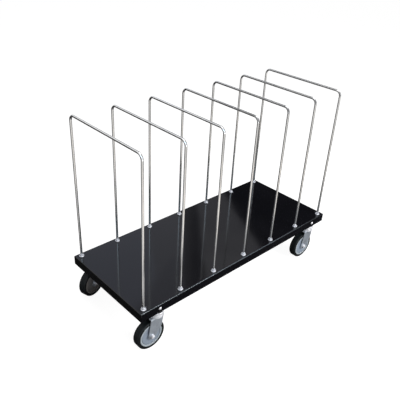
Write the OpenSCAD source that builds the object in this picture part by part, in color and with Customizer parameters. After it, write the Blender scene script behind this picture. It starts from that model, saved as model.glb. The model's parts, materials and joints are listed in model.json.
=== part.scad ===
// Carton cart: a low black steel deck with seven upright rod hoops, on four swivel casters.
// X runs along the deck, Y across it, Z up. The floor is Z = 0 and the deck's centre is X = Y = 0.

/* [Deck] */
// Length of the deck, over its end skirts
deck_l = 1117.6; // [950:0.1:1400]
// Width of the deck, over its long skirts
deck_w = 457.2; // [400:0.1:650]
// Height of the skirt, from the deck's top face to its lower edge
skirt_h = 38.1; // [32:0.1:60]
// Thickness of the deck sheet
deck_t = 2; // [1.5:0.1:3]
// Outer radius of the deck's bends
bend_r = 3.2; // [2:0.1:6]

/* [Dividers] */
// Height of a divider above the deck, over its top bar
divider_h = 622.3; // [300:0.1:900]
// Diameter of the divider rod
rod_d = 9.525; // [8:0.005:11]
// Bend radius at the rod's centre line
rod_bend_r = 22; // [14:0.5:60]
// Distance from the deck's end to the first divider's centre
divider_end_gap = 25.4; // [18:0.1:45]
// Distance from the long edge to the rod's centre
divider_side_gap = 19.05; // [16:0.05:40]

/* [Divider nuts] */
// Width of the divider nut across its flats
nut_af = 14.3; // [13:0.1:16]
// Diameter of the nut's flange
nut_flange_d = 20.6; // [18.5:0.1:24]
// Full height of the nut, flange included
nut_h = 8.3; // [7:0.1:10]
// Height of the flange's straight rim
nut_rim_h = 1.4; // [0.8:0.1:2]
// Length of thread past the nut
thread_end = 3; // [1:0.5:6]

/* [Channels] */
// Width of a channel along the deck
channel_w = 70; // [64:1:90]
// Thickness of the channel sheet
channel_t = 3; // [2:0.1:4]
// Outer radius of the channel's bends
channel_bend_r = 4.5; // [4.1:0.1:6]
// Half the width of the tab at each end of a channel
tab_half_w = 26; // [16:1:28]

/* [Skirt bolts] */
// Diameter of the bolt that holds a channel to the skirt
skirt_bolt_d = 6.35; // [5:0.05:7]
// Diameter of its round head
skirt_head_d = 12.7; // [11:0.1:15]
// Height of its round head
skirt_head_h = 3.8; // [2.5:0.1:5]
// Width of its nut across the flats
skirt_nut_af = 11.1; // [10:0.1:12]
// Height of its nut
skirt_nut_h = 5.5; // [4:0.1:6]

/* [Caster places] */
// Distance from the deck's end to a caster's swivel axis
caster_end_gap = 88.9; // [75:0.1:140]
// Distance from the long edge to a caster's swivel axis
caster_side_gap = 25.4; // [25:0.1:60]
// Rest angle of the caster at the left front corner
yaw_left_front = 0; // [-45:1:45]
// Rest angle of the caster at the right front corner
yaw_right_front = 0; // [-45:1:45]
// Rest angle of the caster at the left rear corner
yaw_left_rear = 15; // [-45:1:45]
// Rest angle of the caster at the right rear corner
yaw_right_rear = 0; // [-45:1:45]

/* [Wheels] */
// Diameter of the wheel over the tyre
wheel_d = 127; // [115:0.5:150]
// Thickness of the tyre, from the hub out to the tread
tread_h = 12.5; // [8:0.1:16]
// Width of the wheel
wheel_w = 32; // [28:0.5:34]
// Width of the hub's raised rim ring
hub_rim_w = 7; // [4:0.5:10]
// Diameter of the boss around the axle
boss_d = 30; // [24:0.5:36]
// Radius of the tyre's shoulders
shoulder_r = 4.5; // [3:0.1:5]

/* [Forks] */
// Distance from the swivel axis back to the axle
trail = 34; // [28:0.5:40]
// Thickness of the fork sheet
fork_t = 2.5; // [2:0.1:3.5]
// Gap inside the fork, between its legs
fork_gap = 37; // [36.5:0.1:40]
// Free height between the wheel and the fork's crown
wheel_clear = 11.9; // [10:0.1:20]
// Radius of the leg's end around the axle
leg_end_r = 17; // [14:0.5:19]
// Diameter of the axle bolt
axle_d = 9.525; // [8:0.005:11]
// Width of the axle's head and nut across the flats
axle_af = 14.3; // [14:0.1:16]
// Height of the axle nut
axle_nut_h = 8.3; // [6:0.1:9]
// Height of the axle bolt's head
axle_head_h = 6.2; // [5:0.1:7]

/* [Swivel heads] */
// Outer diameter of the upper race
race_d = 62; // [58:0.5:66]
// Height of the upper race
cup_h = 12.6; // [11.5:0.1:16]
// Height of the lower race above the crown
ring_h = 9.6; // [8:0.1:12]
// Open gap between the two races
race_gap = 1.5; // [1:0.1:2]
// Diameter of a bearing ball
ball_d = 6; // [5:0.1:6.5]
// Diameter of the kingpin in the crown
kingpin_d = 16; // [14:0.1:17]
// Diameter of the kingpin's threaded stem
stem_d = 12.7; // [10:0.1:12.7]
// Width of the stem's nut across the flats
stem_nut_af = 19; // [17:0.1:20]
// Height of the stem's nut
stem_nut_h = 10.7; // [8:0.1:12]

/* [Hidden] */
$fn = 96;

// Clearances
hole_clear = 0.3; // radial, a bolt or rod through a plain hole
thread_clear = 0.05; // radial, a nut on its thread
running_clear = 0.05; // radial, a shaft that turns in its bore
ball_clear = 0.3; // a ball to the groove that turns past it
turn_gap = 0.1; // between flat faces that turn past each other
wheel_side_gap = 0.5; // the boss to each leg of the fork

// Heights, from the floor up
axle_z = wheel_d / 2;
crown_z0 = wheel_d + wheel_clear;
crown_z1 = crown_z0 + fork_t;
ring_top = crown_z1 + ring_h;
cup_z0 = ring_top + race_gap;
cup_z1 = cup_z0 + cup_h;
deck_z = cup_z1 + skirt_h;
deck_under = deck_z - deck_t;

// Deck and dividers
divider_count = 7;
divider_pitch = (deck_l - 2 * divider_end_gap) / (divider_count - 1);
rod_r = rod_d / 2;
leg_y = deck_w / 2 - divider_side_gap;
bar_z = deck_z + divider_h - rod_r;
foot_z = deck_under - nut_h - thread_end;
thread_chamfer = 1; // at the end of every thread
inner_bend_r = max(bend_r - deck_t, 0.3);
nut_slope = 26; // fall of a flange towards its rim, in degrees

// Channels
caster_x = deck_l / 2 - caster_end_gap;
caster_y = deck_w / 2 - caster_side_gap;
skirt_in_y = deck_w / 2 - deck_t;
flange_back = 4; // a flange stops this far short of the skirt
tab_top_gap = 4; // a tab stops this far below the deck
web_z1 = cup_z1 + channel_t;

// Skirt bolts
skirt_bolt_z = deck_z - skirt_h / 2;
skirt_bolt_end = 1.5;

// Swivel heads
race_r = race_d / 2;
rim_t = 2.5;
race_round = 1.5; // chamfer on a race's outer edges
ring_inset = 1.5; // lower race inside the upper one's edge
ring_r = race_r - ring_inset;
ring_bore_r = kingpin_d / 2 + 3;
cup_hub_t = 5;
cup_edge = 0.5;
track_inset = 4.5; // balls inside the upper race's wall
track_r = race_r - rim_t - track_inset - ball_d / 2;
ball_z = ring_top + ball_d / 3;
cup_plate_z = ball_z + ball_d / 2;
kingpin_r = kingpin_d / 2;
stem_r = stem_d / 2;
thrust_t = 1.5;
thrust_rim = 7;
thrust_r = kingpin_r + thrust_rim;
kingpin_head_rim = 4;
kingpin_head_r = kingpin_r + kingpin_head_rim;
kingpin_head_h = 4.5;
thrust_z = crown_z0 - turn_gap - thrust_t;
stem_washer_r = 13;
stem_washer_t = 2.5;
ball_count = 18;

// Fork
fork_half = fork_gap / 2;
fork_out = fork_half + fork_t;
crown_inset = 1; // crown's round edge inside the upper race's
crown_r = race_r - crown_inset;
fork_inner_bend_r = 2;
fork_bend_r = fork_t + fork_inner_bend_r;
crown_back = trail + 4;
crown_front = 20;
knee_x = 12;
knee_drop = 45; // height of a leg's straight front edge, below the crown
knee_z = crown_z0 - knee_drop;
knee_r = 26;
axle_r = axle_d / 2;
axle_end = 1.5;

// Wheel
wheel_half = wheel_w / 2;
boss_half = fork_half - wheel_side_gap;
sleeve_t = 2.3;
sleeve_r = axle_r + sleeve_t;
hub_r = axle_z - tread_h;
rim_inset = 0.5; // hub's rim ring inside the tyre's face
disc_inset = 2.5; // hub's disc inside the tyre's face
rim_half = wheel_half - rim_inset;
disc_half = wheel_half - disc_inset;
groove_w = 2.5;
groove_depth = 2;
groove_half = disc_half - groove_depth;
key_half = 6;
key_h = 2;
hub_edge = 0.8;
tyre_lip = 1.5; // chamfer where the tyre's face meets the hub

// Corner signs, as [along X, along Y]
left_front = [-1, -1];
right_front = [1, -1];
left_rear = [-1, 1];
right_rear = [1, 1];
corners = [left_front, right_front, left_rear, right_rear];

// Colours
black_paint = [0.05, 0.05, 0.06];
zinc = [0.72, 0.74, 0.76];
bright = [0.85, 0.86, 0.87];
hub_grey = [0.55, 0.6, 0.63];
tyre_black = [0.04, 0.05, 0.05];

// Flat shapes

// Centred rectangle with round corners
module round_rect(w, h, r) {
  square([w - 2 * r, h], center = true);
  square([w, h - 2 * r], center = true);
  for (sx = [-1, 1], sy = [-1, 1])
    translate([sx * (w / 2 - r), sy * (h / 2 - r)]) circle(r = r);
}

// Rectangle from y = 0 up to h, round at its two top corners only
module round_top_rect(w, h, r) {
  translate([-w / 2, 0]) square([w, h - r]);
  translate([-w / 2 + r, 0]) square([w - 2 * r, h]);
  for (sx = [-1, 1])
    translate([sx * (w / 2 - r), h - r]) circle(r = r);
}

// Solid block of the deck's outline, with every bend round
module bent_block(l, w, h, r) {
  intersection() {
    rotate([90, 0, 90]) linear_extrude(l, center = true) round_top_rect(w, h, r);
    rotate([90, 0, 0]) linear_extrude(w, center = true) round_top_rect(l, h, r);
    linear_extrude(h) round_rect(l, w, r);
  }
}

// Hexagon prism from z = 0 up, with its top corners chamfered
module hex_body(af, h) {
  over_r = af / sqrt(3) + 0.5;
  face_r = af / 2 - 0.2;
  chamfer = (over_r - face_r) * tan(30);
  intersection() {
    cylinder(r = af / sqrt(3), h = h, $fn = 6);
    rotate_extrude() polygon([[0, 0], [over_r, 0], [over_r, h - chamfer], [face_r, h], [0, h]]);
  }
}

module hex_nut(af, h, bore_r) {
  difference() {
    hex_body(af, h);
    translate([0, 0, -1]) cylinder(r = bore_r, h = h + 2);
  }
}

// Flat ring from z = 0 up
module washer(outer_r, inner_r, h) {
  difference() {
    cylinder(r = outer_r, h = h);
    translate([0, 0, -1]) cylinder(r = inner_r, h = h + 2);
  }
}

// Outline that is the same above and below z = 0, from its upper half
function both_sides(half) =
  concat(half, [for (i = [len(half) - 1 : -1 : 0]) [half[i][0], -half[i][1]]]);

// Where a line from p touches a circle, on the side that sign picks
function touch(p, centre, r, sign) =
  let (v = p - centre)
  let (a = atan2(v[1], v[0]) + sign * acos(r / norm(v)))
  centre + r * [cos(a), sin(a)];

// Points that round the corner k between a and b with radius r
function rounded_corner(a, k, b, r, steps) =
  let (u = (a - k) / norm(a - k))
  let (v = (b - k) / norm(b - k))
  let (half_angle = acos(u * v) / 2)
  let (centre = k + (u + v) / norm(u + v) * r / sin(half_angle))
  let (p = k + u * r / tan(half_angle) - centre)
  let (q = k + v * r / tan(half_angle) - centre)
  let (a0 = atan2(p[1], p[0]))
  let (a1 = atan2(q[1], q[0]))
  [for (i = [0 : steps]) centre + r * [cos(a0 + (a1 - a0) * i / steps), sin(a0 + (a1 - a0) * i / steps)]];

// Places

function divider_x(i) = -deck_l / 2 + divider_end_gap + i * divider_pitch;

function rest_yaw(corner) =
  corner == left_front ? yaw_left_front
  : corner == right_front ? yaw_right_front
  : corner == left_rear ? yaw_left_rear
  : yaw_right_rear;

module at_feet() {
  for (i = [0 : divider_count - 1], side = [-1, 1])
    translate([divider_x(i), side * leg_y, 0]) children();
}

// Skirt face at each bolt, with local Z pointing outwards
module at_skirt_bolts() {
  for (c = corners)
    translate([c[0] * caster_x, c[1] * deck_w / 2, skirt_bolt_z]) rotate([-90 * c[1], 0, 0]) children();
}

module at_each_caster() {
  for (c = corners)
    translate([c[0] * caster_x, c[1] * caster_y, 0]) children();
}

module at_caster(corner) {
  translate([corner[0] * caster_x, corner[1] * caster_y, 0]) rotate([0, 0, rest_yaw(corner)]) children();
}

// Axle of a caster, with local Z pointing to the front
module at_axle(corner) {
  at_caster(corner) translate([-trail, 0, axle_z]) rotate([90, 0, 0]) children();
}

// Deck and what is fixed to it

module deck() color(black_paint) {
  difference() {
    translate([0, 0, cup_z1]) bent_block(deck_l, deck_w, skirt_h, bend_r);
    translate([0, 0, cup_z1 - 1])
      bent_block(deck_l - 2 * deck_t, deck_w - 2 * deck_t, skirt_h - deck_t + 1, inner_bend_r);
    at_feet() translate([0, 0, deck_under - 1]) cylinder(r = rod_r + hole_clear, h = deck_t + 2);
    at_skirt_bolts() translate([0, 0, -deck_t - 1])
      cylinder(r = skirt_bolt_d / 2 + hole_clear, h = deck_t + 2);
  }
}

module channel_section(w, h, r) {
  translate([0, h]) mirror([0, 1]) round_top_rect(w, h, r);
}

module channel(side) color(black_paint) translate([side * caster_x, 0, cup_z1]) {
  channel_h = skirt_h - deck_t;
  difference() {
    union() {
      difference() {
        rotate([90, 0, 0]) linear_extrude(2 * skirt_in_y, center = true) difference() {
          channel_section(channel_w, channel_h, channel_bend_r);
          translate([0, channel_t])
            channel_section(channel_w - 2 * channel_t, channel_h, channel_bend_r - channel_t);
        }
        for (end = [-1, 1])
          translate([-channel_w, end * skirt_in_y - flange_back, channel_t])
            cube([2 * channel_w, 2 * flange_back, channel_h]);
      }
      for (end = [-1, 1])
        translate([-tab_half_w, end * (skirt_in_y - channel_t / 2) - channel_t / 2, 0])
          cube([2 * tab_half_w, channel_t, channel_h - tab_top_gap]);
    }
    for (end = [-1, 1])
      translate([0, end * caster_y, -1]) cylinder(r = stem_r + hole_clear, h = channel_t + 2);
    translate([0, 0, skirt_bolt_z - cup_z1]) rotate([90, 0, 0])
      cylinder(r = skirt_bolt_d / 2 + hole_clear, h = deck_w, center = true);
  }
}

module skirt_bolts() color(bright) {
  head_r = skirt_head_d / 2;
  dome_r = (pow(head_r, 2) + pow(skirt_head_h, 2)) / (2 * skirt_head_h);
  shank = deck_t + channel_t + skirt_nut_h + skirt_bolt_end;
  at_skirt_bolts() {
    intersection() {
      translate([0, 0, skirt_head_h - dome_r]) sphere(r = dome_r);
      cylinder(r = head_r + 1, h = skirt_head_h + 1);
    }
    translate([0, 0, -shank]) cylinder(d = skirt_bolt_d, h = shank + 1);
  }
}

module skirt_nuts() color(zinc) {
  at_skirt_bolts() translate([0, 0, -deck_t - channel_t]) mirror([0, 0, 1])
    hex_nut(skirt_nut_af, skirt_nut_h, skirt_bolt_d / 2 + thread_clear);
}

// Upside-down U of round rod, feet through the deck
module divider(i) color(bright) translate([divider_x(i), 0, 0]) {
  for (side = [0, 1]) mirror([0, side, 0]) {
    translate([0, leg_y, 0]) rotate_extrude() polygon([
      [0, foot_z], [rod_r - thread_chamfer, foot_z], [rod_r, foot_z + thread_chamfer],
      [rod_r, bar_z - rod_bend_r], [0, bar_z - rod_bend_r]
    ]);
    translate([0, leg_y - rod_bend_r, bar_z - rod_bend_r]) rotate([90, 0, 90])
      rotate_extrude(angle = 90) translate([rod_bend_r, 0]) circle(r = rod_r);
  }
  translate([0, 0, bar_z]) rotate([90, 0, 0])
    cylinder(r = rod_r, h = 2 * (leg_y - rod_bend_r), center = true);
}

module flange_nut() {
  flange_r = nut_flange_d / 2;
  slope_top = nut_rim_h + (flange_r - nut_af / 2) * tan(nut_slope);
  difference() {
    union() {
      rotate_extrude()
        polygon([[0, 0], [flange_r, 0], [flange_r, nut_rim_h], [nut_af / 2, slope_top], [0, slope_top]]);
      hex_body(nut_af, nut_h);
    }
    translate([0, 0, -1]) cylinder(r = rod_r + thread_clear, h = nut_h + 2);
  }
}

module divider_top_nuts() color(bright) at_feet() translate([0, 0, deck_z]) flange_nut();

module divider_bottom_nuts() color(zinc) at_feet()
  translate([0, 0, deck_under]) mirror([0, 0, 1]) flange_nut();

// Swivel heads

module stem_washers() color(zinc) at_each_caster() translate([0, 0, web_z1])
  washer(stem_washer_r, stem_r + hole_clear, stem_washer_t);

module stem_nuts() color(zinc) at_each_caster() translate([0, 0, web_z1 + stem_washer_t])
  hex_nut(stem_nut_af, stem_nut_h, stem_r + thread_clear);

module swivel_balls() color(bright) at_each_caster() {
  for (k = [0 : ball_count - 1])
    rotate([0, 0, k * 360 / ball_count]) translate([track_r, 0, ball_z]) sphere(d = ball_d);
}

module swivel_washers() color(zinc) at_each_caster() translate([0, 0, thrust_z])
  washer(thrust_r, kingpin_r + thread_clear, thrust_t);

module kingpin(corner) color(zinc) at_caster(corner) {
  head_z = thrust_z - kingpin_head_h;
  stem_end = web_z1 + stem_washer_t + stem_nut_h + thread_end;
  rotate_extrude() polygon([
    [0, head_z], [kingpin_head_r - 1, head_z], [kingpin_head_r, head_z + 1], [kingpin_head_r, thrust_z],
    [kingpin_r, thrust_z], [kingpin_r, cup_z1], [stem_r, cup_z1],
    [stem_r, stem_end - thread_chamfer], [stem_r - thread_chamfer, stem_end], [0, stem_end]
  ]);
}

// Cup under the channel, open at its top between rim and hub
module upper_race(corner) color(bright) at_caster(corner) {
  bore = kingpin_r + thread_clear;
  in_r = race_r - rim_t;
  plate_top = cup_plate_z + rim_t;
  rotate_extrude() polygon([
    [bore, cup_plate_z], [in_r, cup_plate_z], [in_r, cup_z0],
    [race_r - cup_edge, cup_z0], [race_r, cup_z0 + cup_edge],
    [race_r, cup_z1 - race_round], [race_r - race_round, cup_z1], [in_r, cup_z1], [in_r, plate_top],
    [bore + cup_hub_t, plate_top], [bore + cup_hub_t, cup_z1], [bore, cup_z1]
  ]);
}

// Ring on the crown with a groove for the balls, hollow underneath
module lower_race(corner) color(bright) at_caster(corner) {
  wall_z = ring_top - rim_t;
  rotate_extrude() difference() {
    polygon([
      [ring_bore_r, crown_z1], [ring_bore_r + rim_t, crown_z1], [ring_bore_r + rim_t, wall_z],
      [ring_r - rim_t, wall_z], [ring_r - rim_t, crown_z1], [ring_r, crown_z1],
      [ring_r, ring_top - race_round], [ring_r - race_round, ring_top], [ring_bore_r, ring_top]
    ]);
    translate([track_r, ball_z]) circle(r = ball_d / 2 + ball_clear);
  }
}

// Fork, axle and wheel

// A leg seen from the side, joined to the crown's full length
module fork_side() {
  centre = [-trail, axle_z];
  top_back = [-crown_back, crown_z1];
  top_front = [crown_front, crown_z1];
  knee = [knee_x, knee_z];
  low_front = touch(knee, centre, leg_end_r, -1);
  low_back = touch(top_back, centre, leg_end_r, 1);
  front_edge = rounded_corner(top_front, knee, low_front, knee_r, 8);
  polygon(concat([top_back, top_front], front_edge, [low_front, centre, low_back]));
  translate(centre) circle(r = leg_end_r);
}

module fork(corner) color(zinc) at_caster(corner) {
  low_z = axle_z - leg_end_r - 5;
  long = 4 * crown_back;
  difference() {
    union() {
      intersection() {
        rotate([90, 0, 0]) linear_extrude(4 * fork_out, center = true) fork_side();
        translate([0, 0, low_z]) rotate([90, 0, 90]) linear_extrude(long, center = true) difference() {
          round_top_rect(2 * fork_out, crown_z1 - low_z, fork_bend_r);
          translate([0, -1]) round_top_rect(fork_gap, crown_z0 - low_z + 1, fork_inner_bend_r);
        }
      }
      translate([0, 0, crown_z0]) cylinder(r = crown_r, h = fork_t);
    }
    translate([0, 0, crown_z0 - 1]) cylinder(r = kingpin_r + running_clear, h = fork_t + 2);
    translate([-trail, 0, axle_z]) rotate([90, 0, 0])
      cylinder(r = axle_r + thread_clear, h = 4 * fork_out, center = true);
  }
}

module axle_bolt(corner) color(bright) at_axle(corner) {
  bolt_end = fork_out + axle_nut_h + axle_end;
  translate([0, 0, -fork_out]) mirror([0, 0, 1]) hex_body(axle_af, axle_head_h);
  rotate_extrude() polygon([
    [0, -fork_out - axle_head_h / 2], [axle_r, -fork_out - axle_head_h / 2],
    [axle_r, bolt_end - thread_chamfer], [axle_r - thread_chamfer, bolt_end], [0, bolt_end]
  ]);
}

module axle_nut(corner) color(bright) at_axle(corner) translate([0, 0, fork_out])
  hex_nut(axle_af, axle_nut_h, axle_r + thread_clear);

module sleeve(corner) color(zinc) at_axle(corner) translate([0, 0, -fork_half])
  washer(sleeve_r, axle_r + thread_clear, fork_gap);

module hub(corner) color(hub_grey) at_axle(corner) {
  bore = sleeve_r + running_clear;
  boss_r = boss_d / 2;
  ring_in = hub_r - hub_rim_w;
  rotate_extrude() polygon(both_sides([
    [bore, boss_half], [boss_r - hub_edge, boss_half], [boss_r, boss_half - hub_edge], [boss_r, disc_half],
    [ring_in - groove_w, disc_half], [ring_in - groove_w, groove_half], [ring_in, groove_half],
    [ring_in, rim_half - hub_edge], [ring_in + hub_edge, rim_half], [hub_r - hub_edge, rim_half],
    [hub_r, rim_half - hub_edge], [hub_r, key_half], [hub_r + key_h, key_half]
  ]));
}

module tyre(corner) color(tyre_black) at_axle(corner) {
  rotate_extrude() difference() {
    union() {
      translate([hub_r, -wheel_half]) square([tread_h - shoulder_r, wheel_w]);
      translate([hub_r, shoulder_r - wheel_half]) square([tread_h, wheel_w - 2 * shoulder_r]);
      for (side = [-1, 1])
        translate([axle_z - shoulder_r, side * (wheel_half - shoulder_r)]) circle(r = shoulder_r);
    }
    translate([hub_r - 1, -key_half]) square([key_h + 1, 2 * key_half]);
    for (side = [-1, 1])
      polygon([
        [hub_r, side * (wheel_half - tyre_lip)], [hub_r + tyre_lip, side * wheel_half],
        [hub_r + tyre_lip, side * (wheel_half + 1)], [hub_r - 1, side * (wheel_half + 1)],
        [hub_r - 1, side * (wheel_half - tyre_lip)]
      ]);
  }
}

deck();
channel(-1);  // channel_left
channel(1);  // channel_right
divider(0);  // divider_1
divider(1);  // divider_2
divider(2);  // divider_3
divider(3);  // divider_4
divider(4);  // divider_5
divider(5);  // divider_6
divider(6);  // divider_7
divider_top_nuts();
divider_bottom_nuts();
skirt_bolts();
skirt_nuts();
stem_nuts();
stem_washers();
swivel_balls();
swivel_washers();
kingpin(left_front);  // kingpin_left_front
upper_race(left_front);  // upper_race_left_front
lower_race(left_front);  // lower_race_left_front
fork(left_front);  // fork_left_front
axle_bolt(left_front);  // axle_bolt_left_front
axle_nut(left_front);  // axle_nut_left_front
sleeve(left_front);  // sleeve_left_front
hub(left_front);  // hub_left_front
tyre(left_front);  // tyre_left_front
kingpin(right_front);  // kingpin_right_front
upper_race(right_front);  // upper_race_right_front
lower_race(right_front);  // lower_race_right_front
fork(right_front);  // fork_right_front
axle_bolt(right_front);  // axle_bolt_right_front
axle_nut(right_front);  // axle_nut_right_front
sleeve(right_front);  // sleeve_right_front
hub(right_front);  // hub_right_front
tyre(right_front);  // tyre_right_front
kingpin(left_rear);  // kingpin_left_rear
upper_race(left_rear);  // upper_race_left_rear
lower_race(left_rear);  // lower_race_left_rear
fork(left_rear);  // fork_left_rear
axle_bolt(left_rear);  // axle_bolt_left_rear
axle_nut(left_rear);  // axle_nut_left_rear
sleeve(left_rear);  // sleeve_left_rear
hub(left_rear);  // hub_left_rear
tyre(left_rear);  // tyre_left_rear
kingpin(right_rear);  // kingpin_right_rear
upper_race(right_rear);  // upper_race_right_rear
lower_race(right_rear);  // lower_race_right_rear
fork(right_rear);  // fork_right_rear
axle_bolt(right_rear);  // axle_bolt_right_rear
axle_nut(right_rear);  // axle_nut_right_rear
sleeve(right_rear);  // sleeve_right_rear
hub(right_rear);  // hub_right_rear
tyre(right_rear);  // tyre_right_rear
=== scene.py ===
"""Carton cart: a low black deck with seven rod dividers, on four swivel casters.

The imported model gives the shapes. This script adds threads, moulded rings and weld beads, gives every
piece its material, and sets up the floor, the light and the camera.
"""
import json
import math

import bmesh
import bpy
from mathutils import Matrix, Vector


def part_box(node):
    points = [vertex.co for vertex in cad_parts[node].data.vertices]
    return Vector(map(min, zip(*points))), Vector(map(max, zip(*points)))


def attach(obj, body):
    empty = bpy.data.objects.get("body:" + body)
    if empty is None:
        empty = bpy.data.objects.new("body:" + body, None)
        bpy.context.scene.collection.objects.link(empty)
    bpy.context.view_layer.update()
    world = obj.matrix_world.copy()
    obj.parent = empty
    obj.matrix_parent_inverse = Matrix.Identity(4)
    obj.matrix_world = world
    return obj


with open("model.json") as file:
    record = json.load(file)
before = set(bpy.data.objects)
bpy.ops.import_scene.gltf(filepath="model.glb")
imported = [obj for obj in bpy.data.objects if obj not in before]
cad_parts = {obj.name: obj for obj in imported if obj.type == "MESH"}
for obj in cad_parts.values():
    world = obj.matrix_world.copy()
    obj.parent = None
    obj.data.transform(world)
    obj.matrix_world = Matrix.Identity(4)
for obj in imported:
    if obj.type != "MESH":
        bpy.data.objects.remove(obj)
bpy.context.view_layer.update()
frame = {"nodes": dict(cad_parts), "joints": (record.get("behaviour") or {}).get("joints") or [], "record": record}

MM = 0.001
CORNERS = ("left_front", "right_front", "left_rear", "right_rear")
DIVIDERS = [f"divider_{i}" for i in range(1, 8)]


# Places taken from the frame

def middle(node):
    """Centre of a CAD node's box."""
    low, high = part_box(node)
    return (low + high) / 2


DECK_LOW, DECK_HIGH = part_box("deck")
DECK_TOP = DECK_HIGH.z
SHEET = 2 * MM
ROD_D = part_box("divider_1")[1].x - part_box("divider_1")[0].x
NUT_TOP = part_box("divider_top_nuts")[1].z
FOOT_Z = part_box("divider_1")[0].z
NUT_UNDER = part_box("divider_bottom_nuts")[0].z
BAR_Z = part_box("divider_1")[1].z - ROD_D / 2
WHEEL_R = middle("tyre_left_front").z
WHEEL_HALF = (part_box("tyre_left_front")[1].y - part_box("tyre_left_front")[0].y) / 2
HUB_KEY = 2 * MM    # the ring that keys the hub into the tyre stands this high
HUB_R = (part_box("hub_left_front")[1].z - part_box("hub_left_front")[0].z) / 2 - HUB_KEY


def axle(corner):
    """Centre of a wheel, and the direction of its axle."""
    joint = next(joint for joint in frame["joints"] if joint["name"] == "roll_" + corner)
    return middle("tyre_" + corner), Vector(joint["axis"]).normalized()


def reach(node, centre, axis):
    """How far a node extends from centre along axis, at its near and far ends."""
    along = [(v.co - centre).dot(axis) for v in frame["nodes"][node].data.vertices]
    return min(along), max(along)


def facing(centre, axis):
    """Matrix that puts local Z along axis, from centre."""
    return Matrix.Translation(centre) @ axis.to_track_quat("Z", "Y").to_matrix().to_4x4()


# Node helpers for materials

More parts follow.
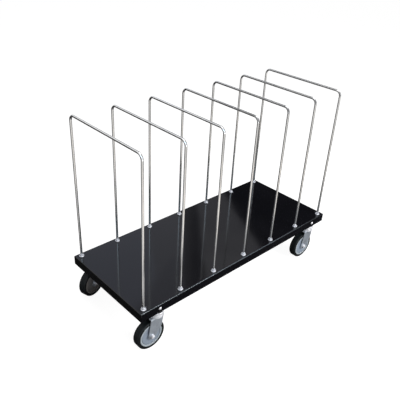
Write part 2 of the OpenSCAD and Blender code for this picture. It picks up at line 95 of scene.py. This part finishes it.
class Shader:
    """A material's node tree, with short calls for the nodes that the surfaces share."""

    def __init__(self, name):
        self.material = bpy.data.materials.new(name)
        self.material.use_nodes = True
        self.nodes = self.material.node_tree.nodes
        self.links = self.material.node_tree.links
        self.surface = self.nodes["Principled BSDF"]
        self.place = self.nodes.new("ShaderNodeTexCoord").outputs["Object"]

    def put(self, socket, value):
        """Links a socket to another's output, or sets its value."""
        if isinstance(value, bpy.types.NodeSocket):
            self.links.new(value, socket)
        else:
            socket.default_value = value

    def set(self, **values):
        """Sets or links sockets of the surface: names with _ for spaces."""
        for name, value in values.items():
            self.put(self.surface.inputs[name.replace("_", " ")], value)

    def part(self, axis):
        """One of the object coordinates, X, Y or Z."""
        node = self.nodes.new("ShaderNodeSeparateXYZ")
        self.put(node.inputs[0], self.place)
        return node.outputs[axis]

    def stretched(self, scale):
        """Object coordinates, scaled along each axis."""
        mapping = self.nodes.new("ShaderNodeMapping")
        self.put(mapping.inputs["Vector"], self.place)
        self.put(mapping.inputs["Scale"], scale)
        return mapping.outputs["Vector"]

    def noise(self, scale, detail, roughness=0.5, vector=None):
        """Soft patches, scale of them to a metre, with values about 0.5."""
        node = self.nodes.new("ShaderNodeTexNoise")
        self.put(node.inputs["Vector"], vector or self.place)
        self.put(node.inputs["Scale"], scale)
        self.put(node.inputs["Detail"], detail)
        self.put(node.inputs["Roughness"], roughness)
        return node.outputs["Fac"]

    def cells(self, scale):
        """A value from 0 to 1 that is the same within each cell."""
        node = self.nodes.new("ShaderNodeTexVoronoi")
        self.put(node.inputs["Vector"], self.place)
        self.put(node.inputs["Scale"], scale)
        split = self.nodes.new("ShaderNodeSeparateColor")
        self.put(split.inputs["Color"], node.outputs["Color"])
        return split.outputs["Red"]

    def maths(self, operation, first, second=0.0, third=0.0):
        """One scalar operation."""
        node = self.nodes.new("ShaderNodeMath")
        node.operation = operation
        for socket, value in zip(node.inputs, (first, second, third)):
            self.put(socket, value)
        return node.outputs[0]

    def product(self, first, *others):
        """All these values multiplied."""
        for other in others:
            first = self.maths("MULTIPLY", first, other)
        return first

    def vector_maths(self, operation, first, second, output="Vector"):
        """One vector operation."""
        node = self.nodes.new("ShaderNodeVectorMath")
        node.operation = operation
        self.put(node.inputs[0], first)
        self.put(node.inputs[1], second)
        return node.outputs[output]

    def spread(self, value, low, high, start=0.3, end=0.7):
        """Maps a value that runs from start to end onto low to high."""
        node = self.nodes.new("ShaderNodeMapRange")
        self.put(node.inputs["Value"], value)
        self.put(node.inputs["From Min"], start)
        self.put(node.inputs["From Max"], end)
        self.put(node.inputs["To Min"], low)
        self.put(node.inputs["To Max"], high)
        return node.outputs["Result"]

    def blend(self, share, first, second):
        """First number where share is 0, second where it is 1."""
        node = self.nodes.new("ShaderNodeMix")
        self.put(node.inputs[0], share)
        self.put(node.inputs[2], first)
        self.put(node.inputs[3], second)
        return node.outputs[0]

    def mix(self, share, first, second):
        """First colour where share is 0, second where it is 1."""
        node = self.nodes.new("ShaderNodeMix")
        node.data_type = "RGBA"
        self.put(node.inputs[0], share)
        self.put(node.inputs[6], (*first, 1) if isinstance(first, tuple) else first)
        self.put(node.inputs[7], (*second, 1) if isinstance(second, tuple) else second)
        return node.outputs[2]

    def about_axle(self, corner):
        """Distance from a wheel's axle, and distance along it from the wheel's middle."""
        centre, axis = axle(corner)
        from_centre = self.vector_maths("SUBTRACT", self.place, centre)
        across = self.vector_maths("CROSS_PRODUCT", from_centre, axis)
        return (self.vector_maths("LENGTH", across, axis, "Value"),
                self.vector_maths("DOT_PRODUCT", from_centre, axis, "Value"))

    def bump(self, height, depth, strength, under=None):
        """Adds a height, in metres of depth, to the surface's normal."""
        node = self.nodes.new("ShaderNodeBump")
        self.put(node.inputs["Height"], height)
        self.put(node.inputs["Distance"], depth)
        self.put(node.inputs["Strength"], strength)
        if under is not None:
            self.put(node.inputs["Normal"], under)
        self.set(Normal=node.outputs["Normal"])
        return node.outputs["Normal"]

    def soft_edges(self, radius):
        """Normal that rounds sharp edges over this radius."""
        node = self.nodes.new("ShaderNodeBevel")
        node.samples = 4
        self.put(node.inputs["Radius"], radius)
        return node.outputs["Normal"]

    def worn_edges(self, radius, share):
        """This share on sharp edges, where the rounded normal leans from the face's own, else 0."""
        full_wear, no_wear = 0.80, 0.97     # cosines of the lean
        own = self.nodes.new("ShaderNodeNewGeometry").outputs["Normal"]
        lean = self.vector_maths("DOT_PRODUCT", self.soft_edges(radius), own, "Value")
        return self.spread(lean, share, 0, full_wear, no_wear)


# Materials

def above_deck(s, under, above):
    """One number under the deck's top face and another above it."""
    return s.spread(s.part("Z"), under, above, DECK_TOP - 1 * MM, DECK_TOP)


def long_edge_wear_and_highlight(s):
    """1 on the deck's two long top bends, where cartons rub the paint thin and where a highlight is painted, and 0
    elsewhere.
    """
    height, along = s.part("Z"), s.part("X")
    across = s.maths("ABSOLUTE", s.part("Y"))
    below_top = s.spread(height, 1, 0, DECK_TOP - 0.4 * MM, DECK_TOP - 0.1 * MM)
    above_skirt = s.spread(height, 0, 1, DECK_TOP - 2.8 * MM, DECK_TOP - 1.8 * MM)
    outside = s.spread(across, 0, 1, DECK_HIGH.y - 3.2 * MM, DECK_HIGH.y - 2.8 * MM)
    # Painted highlight: the band fades towards both ends so that it follows the highlight line along the bend.
    less_to_left = s.spread(along, 0.6, 1, -0.3, 0)
    less_to_right = s.spread(along, 1, 0.15, 0.05, 0.42)
    return s.product(below_top, above_skirt, outside, less_to_left, less_to_right)


def deck_paint():
    """Gloss black stoved paint: orange peel, faint haze, and paler and metallic on the long top bends, which is
    partly worn paint and partly a painted highlight.
    """
    s = Shader("deck_paint")
    black, hazy, thin_paint_and_highlight = (0.0032, 0.0034, 0.0050), (0.0056, 0.0056, 0.0076), (0.30, 0.36, 0.42)
    haze = s.noise(3.5, 4)
    grain = s.noise(900, 2)
    # The paler, metallic band on the long bends is partly worn paint and partly a painted highlight.
    worn = s.product(long_edge_wear_and_highlight(s), s.spread(s.noise(60, 4, 0.65), 0.25, 0.6))
    paint = s.mix(s.spread(haze, 0, 1), black, hazy)
    s.set(Base_Color=s.mix(worn, paint, thin_paint_and_highlight), Metallic=worn)
    s.set(Roughness=s.maths("ADD", s.spread(haze, 0.05, 0.08), s.spread(grain, 0, 0.02)))
    s.set(Specular_IOR_Level=0.5)
    edges = s.soft_edges(0.5 * MM)
    sheet = s.bump(s.noise(5, 1), 0.9 * MM, 0.5, edges)
    waves = s.bump(s.noise(34, 1), 0.05 * MM, 0.15, sheet)
    s.bump(s.noise(420, 2), 0.02 * MM, 0.15, waves)
    return s.material


def plated(name, dark, light, above_deck_colour, rough, scale, depth):
    """Plated steel that varies from dark to light in patches and is duller above the deck."""
    s = Shader(name)
    grain = s.noise(scale, 4, 0.6)
    cloud = s.noise(60, 3)
    both = s.blend(0.5, grain, cloud)
    plating = s.mix(s.spread(both, 0, 1, 0.35, 0.65), dark, light)
    # Parts above the deck take a duller colour.
    tint = s.mix(above_deck(s, 0, 0.7), plating, above_deck_colour)
    s.set(Base_Color=s.mix(s.worn_edges(0.5 * MM, 0.6), tint, light))
    s.set(Roughness=s.spread(both, *rough, 0.35, 0.65))
    s.bump(grain, depth, 0.5, s.soft_edges(0.3 * MM))
    return s


def bright_steel():
    """Bright zinc on nuts, races and bolts, cloudy rather than mirror-like."""
    s = plated("bright_steel", dark=(0.88, 0.89, 0.94), light=(0.96, 0.96, 0.99),
               above_deck_colour=(0.66, 0.69, 0.77), rough=(0.24, 0.38), scale=400, depth=0.03 * MM)
    s.set(Metallic=above_deck(s, 0.15, 0.3))
    return s.material


def zinc_steel():
    """Duller zinc on the fastenings under the deck."""
    s = plated("zinc_steel", dark=(0.48, 0.50, 0.52), light=(0.68, 0.69, 0.70),
               above_deck_colour=(0.45, 0.46, 0.48), rough=(0.30, 0.45), scale=300, depth=0.04 * MM)
    s.set(Metallic=1.0)
    return s.material


def rod_chrome():
    """Bright drawn rod: faint draw lines along each leg and bar, darker and rougher near the deck, where the
    darker colour is a painted reflection of the black deck.
    """
    s = Shader("rod_chrome")
    dark, light, deck_reflection_grey = (0.70, 0.71, 0.73), (0.86, 0.86, 0.86), (0.58, 0.59, 0.62)
    along_leg, along_bar = (1, 1, 0.04), (1, 0.04, 1)
    height = s.part("Z")
    on_bar = s.spread(height, 0, 1, BAR_Z - 2 * ROD_D, BAR_Z - ROD_D)
    lines = s.blend(on_bar, s.noise(900, 3, 0.6, s.stretched(along_leg)),
                    s.noise(900, 3, 0.6, s.stretched(along_bar)))
    cloud = s.noise(14, 3)
    steel = s.mix(s.spread(cloud, 0, 1), dark, light)
    # Painted reflection: the colour darkens towards the deck, standing in for the black deck mirrored in the rods.
    painted_deck_reflection = s.product(s.spread(height, 1, 0, DECK_TOP, DECK_TOP + 0.15),
                          s.spread(cloud, 0.3, 0.7))
    s.set(Base_Color=s.mix(painted_deck_reflection, steel, deck_reflection_grey), Metallic=1.0)
    s.set(Roughness=s.maths("ADD", s.spread(lines, 0.08, 0.16), s.product(painted_deck_reflection, 0.08)))
    s.bump(lines, 0.02 * MM, 0.4)
    return s.material


def fork_zinc():
    """Satin pressed steel, zinc plated, with a faint crystal pattern."""
    s = Shader("fork_zinc")
    dark, light, worn = (0.38, 0.42, 0.47), (0.51, 0.55, 0.61), (0.86, 0.87, 0.90)
    crystal = s.cells(260)
    cloud = s.noise(28, 3)
    tint = s.maths("MULTIPLY_ADD", crystal, 0.35, s.product(cloud, 0.65))
    satin = s.mix(s.spread(tint, 0, 1, 0.25, 0.75), dark, light)
    s.set(Base_Color=s.mix(s.worn_edges(1.2 * MM, 0.8), satin, worn))
    s.set(Metallic=0.5, Roughness=s.spread(tint, 0.34, 0.5, 0.25, 0.75))
    s.bump(s.noise(700, 3), 0.03 * MM, 0.4, s.soft_edges(0.6 * MM))
    return s.material


# Share of brown in each hub: on the left rear it is painted shade from the deck over that wheel, on the others a
# little dirt.
HUB_GRIME_AND_SHADE = {"left_front": 0.02, "right_front": 0.02, "left_rear": 0.75, "right_rear": 0.10}
# The paler rim is a painted highlight, and the darker groove is painted shade with some dirt.
HUB_RIM_HIGHLIGHT = (HUB_R - 7.4 * MM, HUB_R - 6.8 * MM)      # radii between which the paler rim starts
HUB_GROOVE_SHADE = (HUB_R - 9.8 * MM, HUB_R - 9.2 * MM)   # and the darker groove inside it


def hub_colour(s, radius, cloud):
    """Grey disc with a paler rim, which is a painted highlight, and between them a darker groove of painted shade
    and dirt.
    """
    dark, light = (0.285, 0.345, 0.425), (0.35, 0.41, 0.50)
    # The second colour is the groove's painted shade with dirt, and the third is the rim's painted highlight.
    dust_and_painted_light, rim_highlight, worn = (0.16, 0.20, 0.23), (0.50, 0.56, 0.61), (0.62, 0.67, 0.71)
    rim = s.spread(radius, 0, 1, *HUB_RIM_HIGHLIGHT)
    groove = s.product(s.spread(radius, 0, 1, *HUB_GROOVE_SHADE), s.maths("SUBTRACT", 1, rim))
    disc = s.mix(s.spread(cloud, 0, 1), dark, light)
    disc = s.mix(groove, disc, dust_and_painted_light)
    disc = s.mix(rim, disc, rim_highlight)
    return s.mix(s.worn_edges(0.6 * MM, 0.5), disc, worn)


def hub_grey(corner):
    """Moulded grey plastic, satin, with fine turning rings, mould grain and a brown tint for each corner: a little
    dirt, and painted shade on the left rear hub.
    """
    s = Shader("hub_grey_" + corner)
    radius, _ = s.about_axle(corner)
    cloud = s.noise(40, 3)
    grain = s.noise(1400, 2)
    grime_and_shade = s.spread(cloud, HUB_GRIME_AND_SHADE[corner] * 0.9, HUB_GRIME_AND_SHADE[corner])
    # The brown mixed in here is painted shade on the left rear hub and a little dirt on the others.
    s.set(Base_Color=s.mix(grime_and_shade, hub_colour(s, radius, cloud), (0.22, 0.18, 0.145)))
    s.set(Roughness=s.spread(grain, 0.34, 0.46), Specular_IOR_Level=0.5)
    ring_pitch = 1.5 * MM
    rings = s.maths("SINE", s.product(radius, 2 * math.pi / ring_pitch))
    turned = s.bump(rings, 0.02 * MM, 0.5, s.soft_edges(0.4 * MM))
    s.bump(grain, 0.03 * MM, 0.35, turned)
    return s.material


def tyre_black(corner):
    """Black rubber: fine grain, a mould line round the tread, and a paler teal tread that is dusty bloom with a
    painted sheen.
    """
    s = Shader("tyre_black_" + corner)
    radius, along = s.about_axle(corner)
    bloom = s.noise(55, 4, 0.6)
    grain = s.noise(1100, 3)
    tread = s.spread(radius, 0, 1, WHEEL_R - 3 * MM, WHEEL_R - 0.5 * MM)
    rubber = s.mix(s.spread(bloom, 0, 1), (0.0040, 0.0050, 0.0055), (0.0080, 0.0105, 0.0115))
    # The tread's paler teal colour is partly dusty bloom and partly a painted sheen.
    dust_and_painted_light = s.mix(s.spread(bloom, 0, 1), (0.006, 0.009, 0.010), (0.012, 0.016, 0.018))
    s.set(Base_Color=s.mix(tread, rubber, dust_and_painted_light))
    s.set(Roughness=s.spread(bloom, 0.45, 0.65), Specular_IOR_Level=0.25)
    scuffs = s.noise(60, 3, 0.6, s.stretched((1, 14, 1)))
    mould_line = s.spread(s.maths("ABSOLUTE", along), 1, 0, 0.2 * MM, 0.7 * MM)
    line = s.bump(mould_line, 0.25 * MM, 0.8)
    scuffed = s.bump(scuffs, 0.12 * MM, 0.35, line)
    s.bump(grain, 0.05 * MM, 0.4, scuffed)
    return s.material


MATERIALS = {make.__name__: make() for make in
             (deck_paint, rod_chrome, bright_steel, zinc_steel, fork_zinc)}
WHEEL_MATERIALS = {(slot, corner): make(corner) for corner in CORNERS
                   for slot, make in (("hub_grey", hub_grey), ("tyre_black", tyre_black))}


def material_of(slot, name):
    """A slot's material. Hubs and tyres have one for each corner, which their names end in."""
    for corner in CORNERS:
        if name.endswith(corner) and (slot, corner) in WHEEL_MATERIALS:
            return WHEEL_MATERIALS[slot, corner]
    return MATERIALS[slot]


def finish_nodes():
    """Gives each CAD node the material of its slot."""
    for part in frame["record"]["subparts"]:
        slots = frame["nodes"][part["node"]].data.materials
        for i in range(len(slots)):
            slots[i] = material_of(part["material_slot"], part["node"])


# Added pieces

ROD_THREAD = dict(radius=ROD_D / 2, pitch=1.6 * MM, height=0.32 * MM, around=20)
STEM_THREAD = dict(radius=6.35 * MM, pitch=0.9 * MM, height=0.25 * MM, around=32)
AXLE_THREAD = dict(radius=4.76 * MM, pitch=0.6 * MM, height=0.2 * MM, around=32)
RING_WIDTH, RING_HEIGHT = 0.9 * MM, 0.3 * MM
RING_RADII = (HUB_R + 3 * MM, HUB_R + 6.4 * MM)
BEAD_R = 2.2 * MM
BEAD_STEP = 0.7 * MM
STITCHES = (-0.12, 0, 0.12)     # Y of the short beads along each channel
STITCH_HALF = 0.02


def add_piece(name, bm, slot, body):
    """Makes an object of a bmesh that rides on a body."""
    bmesh.ops.recalc_face_normals(bm, faces=bm.faces)
    mesh = bpy.data.meshes.new(name)
    bm.to_mesh(mesh)
    bm.free()
    mesh.materials.append(material_of(slot, name))
    mesh.shade_smooth()
    piece = bpy.data.objects.new(name, mesh)
    bpy.context.scene.collection.objects.link(piece)
    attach(piece, body)


def turned_row(bm, place, profile, angle):
    """Adds the vertices of a profile, of radius and height pairs, turned about local Z by angle."""
    return [bm.verts.new(place @ Vector((r * math.cos(angle), r * math.sin(angle), z)))
            for r, z in profile]


def bridge(bm, rows):
    """Joins each row of vertices to the next, round and round."""
    for a, b in zip(rows, rows[1:]):
        for k in range(len(a)):
            n = (k + 1) % len(a)
            bm.faces.new((a[k], a[n], b[n], b[k]))


def close_ends(bm, rows):
    """Caps a bridged run of rows."""
    bm.faces.new(rows[0])
    bm.faces.new(rows[-1])


def sweep_thread(bm, place, start, end, radius, pitch, height, around):
    """Adds a helical ridge to bm, from start to end along local Z, that fades out at both ends."""
    root = radius - 0.05 * MM
    steps = max(int((end - start) / pitch * around), around)
    rows = []
    for i in range(steps + 1):
        share = i / steps
        grow = min(1, 6 * share, 6 * (1 - share)) + 0.02
        z = start + (end - start) * share
        half = 0.42 * pitch * grow
        crest = radius + height * grow
        profile = ((root, z - half), (crest, z - 0.1 * half), (crest, z + 0.1 * half), (root, z + half))
        rows.append(turned_row(bm, place, profile, 2 * math.pi * i / around))
    bridge(bm, rows)
    close_ends(bm, rows)


def divider_threads():
    """Threads that show above and below the nuts on every divider foot."""
    spans = ((NUT_TOP + 0.3 * MM, NUT_TOP + 6 * MM), (FOOT_Z + 1.2 * MM, NUT_UNDER - 0.3 * MM))
    for name in DIVIDERS:
        low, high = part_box(name)
        bm = bmesh.new()
        for y in (low.y + ROD_D / 2, high.y - ROD_D / 2):
            place = Matrix.Translation((middle(name).x, y, 0))
            for start, end in spans:
                sweep_thread(bm, place, start, end, **ROD_THREAD)
        add_piece("thread_" + name, bm, "rod_chrome", "cart")


def kingpin_threads():
    """Threads on the casters' stems, above their nuts."""
    nut_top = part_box("stem_nuts")[1].z
    for corner in CORNERS:
        name = "kingpin_" + corner
        place = Matrix.Translation((middle(name).x, middle(name).y, 0))
        bm = bmesh.new()
        sweep_thread(bm, place, nut_top + 0.2 * MM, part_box(name)[1].z - 0.8 * MM, **STEM_THREAD)
        add_piece("thread_" + name, bm, "zinc_steel", "cart")


def axle_threads():
    """Threads on the axle bolts, outside their nuts."""
    for corner in CORNERS:
        centre, axis = axle(corner)
        bolt, nut = (reach(f"{kind}_{corner}", centre, axis) for kind in ("axle_bolt", "axle_nut"))
        if nut[1] < 0:
            axis = -axis
            bolt, nut = (-bolt[1], -bolt[0]), (-nut[1], -nut[0])
        bm = bmesh.new()
        sweep_thread(bm, facing(centre, axis), nut[1] + 0.2 * MM, bolt[1] - 0.8 * MM, **AXLE_THREAD)
        add_piece("thread_axle_bolt_" + corner, bm, "bright_steel", "caster_" + corner)


def turn_ridge(bm, place, profile, around=96):
    """Adds to bm a ridge whose profile, of radius and height pairs, is turned about local Z."""
    rows = [turned_row(bm, place, profile, 2 * math.pi * i / around) for i in range(around)]
    bridge(bm, rows + rows[:1])


def tyre_rings():
    """Two moulded rings on each face of a tyre."""
    for corner in CORNERS:
        place = facing(*axle(corner))
        bm = bmesh.new()
        for side in (-1, 1):
            root, crest = side * (WHEEL_HALF - 0.1 * MM), side * (WHEEL_HALF + RING_HEIGHT)
            for radius in RING_RADII:
                turn_ridge(bm, place, [(radius - RING_WIDTH / 2, root), (radius - RING_WIDTH / 4, crest),
                                       (radius + RING_WIDTH / 4, crest), (radius + RING_WIDTH / 2, root)])
        add_piece("tyre_rings_" + corner, bm, "tyre_black", "wheel_" + corner)


def weld_bead(bm, start, end, out):
    """Adds a rippled bead to bm, from start to end in an inside corner that opens towards out."""
    run, out = end - start, out.normalized()
    side = run.normalized().cross(out)
    steps = int(run.length / BEAD_STEP)
    half_circle = [math.pi * k / 6 for k in range(7)]
    rows = []
    for i in range(steps + 1):
        share = i / steps
        size = BEAD_R * min(1, 0.35 + 12 * share, 0.35 + 12 * (1 - share))
        size *= 1 + 0.07 * math.sin(2 * math.pi * i / 4) + 0.04 * math.sin(0.37 * i)
        rows.append([bm.verts.new(start + run * share
                                  + size * (side * math.cos(a) + out * 0.85 * math.sin(a)))
                     for a in half_circle])
    bridge(bm, rows)
    close_ends(bm, rows)


def deck_welds():
    """Beads in the skirt's corners, and where the caster channels meet the deck."""
    under = DECK_TOP - SHEET
    bm = bmesh.new()
    for x in (-1, 1):
        for y in (-1, 1):
            corner = Vector((x * (DECK_HIGH.x - SHEET), y * (DECK_HIGH.y - SHEET), 0))
            weld_bead(bm, corner + Vector((0, 0, DECK_LOW.z + 4 * MM)),
                      corner + Vector((0, 0, under - 3 * MM)), Vector((-x, -y, 0)))
    for channel in ("channel_left", "channel_right"):
        low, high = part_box(channel)
        for x, out in ((low.x, -1), (high.x, 1)):
            for y in STITCHES:
                weld_bead(bm, Vector((x, y - STITCH_HALF, under)), Vector((x, y + STITCH_HALF, under)),
                          Vector((out, 0, -1)))
    add_piece("deck_welds", bm, "deck_paint", "cart")


# Floor and studio cards. A card is a plane of one colour that only mirror-like surfaces see.

BACKDROP_AWAY = 4.95    # how far along X and along Y the backdrop lies, on the photograph's diagonal
BACKDROP_STEP = 0.01    # each later card lies this much nearer, in front of the one before
DIAGONAL = 0.707
BACKDROP = (
    # name, level, then the corners: metres to the right, and height
    ("card_left", (0.54, 0.57, 0.68), (-5.0, 1.5), (-0.05, 1.5), (-0.05, 8.0), (-5.0, 8.0)),
    ("card_dark", (0.022, 0.022, 0.026), (-0.05, 1.5), (5.0, 1.5), (5.0, 8.0), (-0.05, 8.0)),
    ("card_half", (0.47, 0.48, 0.54), (-1.5, 1.5), (-0.15, 1.5), (-0.15, 8.0), (-0.8, 8.0)),
    ("card_middle", (0.35, 0.35, 0.38), (-0.25, 3.8), (0.31, 3.8), (3.2, 8.0), (0.0, 8.0)),
    ("card_middle_low", (0.35, 0.35, 0.38), (-0.3, 1.5), (0.25, 1.5), (0.31, 3.8), (-0.25, 3.8)),
    ("card_middle_high", (0.41, 0.41, 0.44), (-0.15, 4.8), (1.0, 4.8), (2.37, 6.8), (0.0, 6.8)),
    ("card_middle_top", (0.48, 0.48, 0.51), (-0.1, 5.35), (1.38, 5.35), (2.37, 6.8), (0.0, 6.8)),
    ("card_near", (0.41, 0.42, 0.48), (-0.66, 5.5), (-0.40, 5.5), (-0.35, 7.4), (-1.6, 7.4)),
    ("card_strip", (0.16, 0.16, 0.17), (-0.51, 2.6), (-0.35, 2.6), (0.22, 6.8), (-0.35, 6.8)),
    ("card_strip_dark", (0.10, 0.10, 0.11), (-0.36, 2.6), (-0.35, 2.6), (0.20, 6.8), (-0.15, 6.8)),
)
FLOOR_CARDS_Z, LEG_CARDS_Z, CARD_STEP = 0.5 * MM, 1.8 * MM, 0.1 * MM
FLOOR_CARDS = (
    # name, level, low x, low y, high x, high y
    ("card_floor", (0.75, 0.73, 0.70), -4.0, -4.0, 4.0, 4.0),
    ("card_floor_near", (0.03, 0.03, 0.03), -0.80, -0.435, 1.0, 0.5),
    ("card_floor_back", (0.03, 0.03, 0.03), -3.0, 0.5, 3.0, 3.0),
    ("card_floor_left", (0.10, 0.10, 0.11), -3.0, 0.05, -0.80, 0.5),
    ("card_floor_front", (0.62, 0.61, 0.60), -0.65, -0.75, -0.1, -0.425),
    ("card_floor_side", (0.28, 0.28, 0.29), -0.95, -0.62, -0.65, -0.425),
    ("card_floor_bright", (1.15, 1.08, 1.0), -0.70, -1.6, 0.36, -0.75),
    ("card_floor_right", (0.20, 0.20, 0.20), 0.36, -2.0, 2.4, -0.425),
    ("card_floor_foot", (0.40, 0.40, 0.40), -0.1, -0.75, 0.36, -0.425),
)
LEGS_Y = -0.21
UNDER_CAMERA = (-1.375, -1.324)
LEG_CARDS = (
    # name, level, then x of the legs that mirror it, and its near and far share of the way from
    # them to the point under the camera
    ("card_legs_far", (0.50, 0.49, 0.47), -0.62, 0.267, 0.69, 0.95),
    ("card_legs_right", (0.15, 0.15, 0.15), 0.267, 0.65, 0.24, 0.91),
    ("card_leg_left", (0.20, 0.20, 0.20), -0.267, -0.089, 0.37, 0.69),
)
UPRIGHT_CARDS = (
    # name, level, its two ends seen from above, and its lowest and highest height
    ("card_behind", (0.04, 0.04, 0.04), (-7, 3.5), (-1.5, 3.5), 0, 2.2),
    ("card_above", (0.45, 0.45, 0.45), (-0.2, 0.1), (-0.2, 3.0), 0.95, 2.4),
    ("card_beside", (0.3, 0.3, 0.3), (-0.1, -1.8), (-0.1, 0.1), 0.85, 2.0),
    ("card_front", (0.22, 0.22, 0.22), (-0.1, -0.9), (1.2, -0.9), 0.66, 1.7),
    ("card_side", (0.2, 0.2, 0.2), (-2.2, -1.0), (-2.2, 0.9), 0.35, 1.3),
    ("card_right", (0.15, 0.15, 0.16), (3.6, -4.5), (3.6, -0.4), 0.3, 4.5),
    ("card_sky", (1.4, 1.6, 1.8), (-3.3, -0.2), (-0.2, -3.3), 2.25, 3.2),
    ("card_sky_low", (2.2, 2.8, 3.4), (-3.3, -0.2), (-0.2, -3.3), 1.7, 2.25),
)
OTHER_CARDS = (
    # name, level, corners
    ("card_ceiling", (0.12, 0.12, 0.13),
     (0.1, 0.9, 4.2), (1.9, 0.9, 4.2), (1.9, 3.0, 4.2), (0.1, 3.0, 4.2)),
    ("card_beside_low", (0.3, 0.3, 0.3),
     (-0.1, -0.7, 0.62), (-0.1, -0.35, 0.76), (-0.1, -0.35, 0.86), (-0.1, -0.7, 0.86)),
)


def background_share(nodes, links):
    """1 for rays that see the background as white: straight, mirrored or through glass."""
    path = nodes.new("ShaderNodeLightPath")
    seen = path.outputs["Is Camera Ray"]
    for name in ("Is Glossy Ray", "Is Transmission Ray"):
        either = nodes.new("ShaderNodeMath")
        either.operation = "MAXIMUM"
        links.new(seen, either.inputs[0])
        links.new(path.outputs[name], either.inputs[1])
        seen = either.outputs[0]
    return seen


def world_light(level):
    """White background, and a plain soft light of this level on everything."""
    world = bpy.data.worlds.new("studio")
    bpy.context.scene.world = world
    world.use_nodes = True
    nodes, links = world.node_tree.nodes, world.node_tree.links
    strength = nodes.new("ShaderNodeMapRange")
    links.new(background_share(nodes, links), strength.inputs["Value"])
    strength.inputs["To Min"].default_value = level
    strength.inputs["To Max"].default_value = 1.0
    links.new(strength.outputs["Result"], nodes["Background"].inputs["Strength"])
    nodes["Background"].inputs["Color"].default_value = (1, 1, 1, 1)


def plane(name, corners):
    """A staged plane with these four corners."""
    mesh = bpy.data.meshes.new(name)
    mesh.from_pydata([tuple(c) for c in corners], [], [(0, 1, 2, 3)])
    obj = bpy.data.objects.new(name, mesh)
    bpy.context.scene.collection.objects.link(obj)
    return obj


def level_corners(x0, y0, x1, y1, z):
    """Corners of a level rectangle."""
    return (x0, y0, z), (x1, y0, z), (x1, y1, z), (x0, y1, z)


def floor(half_width, glow):
    """Pale floor that glows for the camera, so that it is white but still takes a shadow."""
    under_wheels = -0.2 * MM
    obj = plane("floor", level_corners(-half_width, -half_width, half_width, half_width, under_wheels))
    s = Shader("floor_white")
    speck = s.noise(4, 3)
    s.set(Base_Color=s.mix(speck, (0.34, 0.34, 0.34), (0.37, 0.37, 0.37)))
    s.set(Roughness=s.spread(speck, 0.85, 0.95), Specular_IOR_Level=0.0)
    s.set(Emission_Color=(1, 1, 1, 1))
    s.set(Emission_Strength=s.product(background_share(s.nodes, s.links), glow))
    obj.data.materials.append(s.material)


def card(name, level, corners):
    """Studio card of this colour that only mirror-like surfaces see."""
    obj = plane(name, corners)
    material = bpy.data.materials.new(name)
    material.use_nodes = True
    nodes, links = material.node_tree.nodes, material.node_tree.links
    nodes.remove(nodes["Principled BSDF"])
    glow = nodes.new("ShaderNodeEmission")
    glow.inputs["Color"].default_value = (*level, 1)
    links.new(glow.outputs[0], nodes["Material Output"].inputs["Surface"])
    obj.data.materials.append(material)
    obj.visible_camera = obj.visible_diffuse = obj.visible_shadow = obj.visible_transmission = False


def backdrop_cards():
    """Cards behind the cart, square to the view, that the deck's top mirrors."""
    for layer, (name, level, *corners) in enumerate(BACKDROP):
        away = BACKDROP_AWAY - BACKDROP_STEP * layer
        card(name, level, [(away + u * DIAGONAL, away - u * DIAGONAL, z) for u, z in corners])


def floor_cards():
    """Cards on the floor, each a little above the one before, that casters and rods mirror."""
    for layer, (name, level, *sides) in enumerate(FLOOR_CARDS):
        card(name, level, level_corners(*sides, FLOOR_CARDS_Z + CARD_STEP * layer))


def leg_cards():
    """Cards on the floor between the near legs and the camera, that those legs mirror."""
    for layer, (name, level, x0, x1, start, end) in enumerate(LEG_CARDS):
        z = LEG_CARDS_Z + CARD_STEP * layer
        corners = ((x0, start), (x1, start), (x1, end), (x0, end))
        card(name, level, [(x + (UNDER_CAMERA[0] - x) * share,
                            LEGS_Y + (UNDER_CAMERA[1] - LEGS_Y) * share, z) for x, share in corners])


def upright_cards():
    """Cards that stand or hang about the cart, and the one overhead."""
    for name, level, (x0, y0), (x1, y1), low, high in UPRIGHT_CARDS:
        card(name, level, [(x0, y0, low), (x1, y1, low), (x1, y1, high), (x0, y0, high)])
    for name, level, *corners in OTHER_CARDS:
        card(name, level, corners)


# Lamps and camera

LAMPS = (
    # name, place, target, width, height, radiance
    ("key", (0.95, -2.6, 1.9), (0, 0, 0.25), 1.4, 1.3, 11.0),
    ("low", (-0.5, -3.2, 0.6), (-0.4, 0, 0.1), 0.7, 0.6, 12.2),
    ("edge", (1.85, -2.0, 1.75), (0, 0, 0.25), 1.4, 0.8, 2.6),
    ("top", (0, -0.3, 3.2), (0, 0, 0.3), 2.4, 1.6, 2.3),
    ("fill", (-2.5, -1.8, 2.2), (0, 0, 0.3), 1.0, 1.0, 0.3),
)


def softbox(name, place, target, width, height, radiance):
    """Area light of this radiance, aimed at a point."""
    light = bpy.data.lights.new(name, "AREA")
    light.shape = "RECTANGLE"
    light.size, light.size_y = width, height
    light.energy = math.pi * width * height * radiance
    obj = bpy.data.objects.new(name, light)
    obj.location = place
    obj.rotation_euler = (Vector(target) - Vector(place)).to_track_quat("-Z", "Y").to_euler()
    bpy.context.scene.collection.objects.link(obj)


def camera(place, target, roll, lens):
    """Camera at the photograph's viewing angle, with roll in degrees and lens in millimetres."""
    data = bpy.data.cameras.new("camera")
    data.lens, data.sensor_width = lens, 36
    obj = bpy.data.objects.new("camera", data)
    aim = (Vector(target) - Vector(place)).to_track_quat("-Z", "Y").to_matrix()
    turn = Matrix.Rotation(math.radians(roll), 3, "Z")
    obj.matrix_world = Matrix.Translation(place) @ (aim @ turn).to_4x4()
    bpy.context.scene.collection.objects.link(obj)
    bpy.context.scene.camera = obj


divider_threads()
kingpin_threads()
axle_threads()
tyre_rings()
deck_welds()
finish_nodes()

world_light(0.15)
floor(12, glow=0.94)
backdrop_cards()
floor_cards()
leg_cards()
upright_cards()
for lamp in LAMPS:
    softbox(*lamp)
camera((-1.3756, -1.3260, 1.4755), (0.1726, 0.2486, 0.2003), roll=3.310, lens=45.51)
bpy.context.scene.view_settings.view_transform = "Standard"
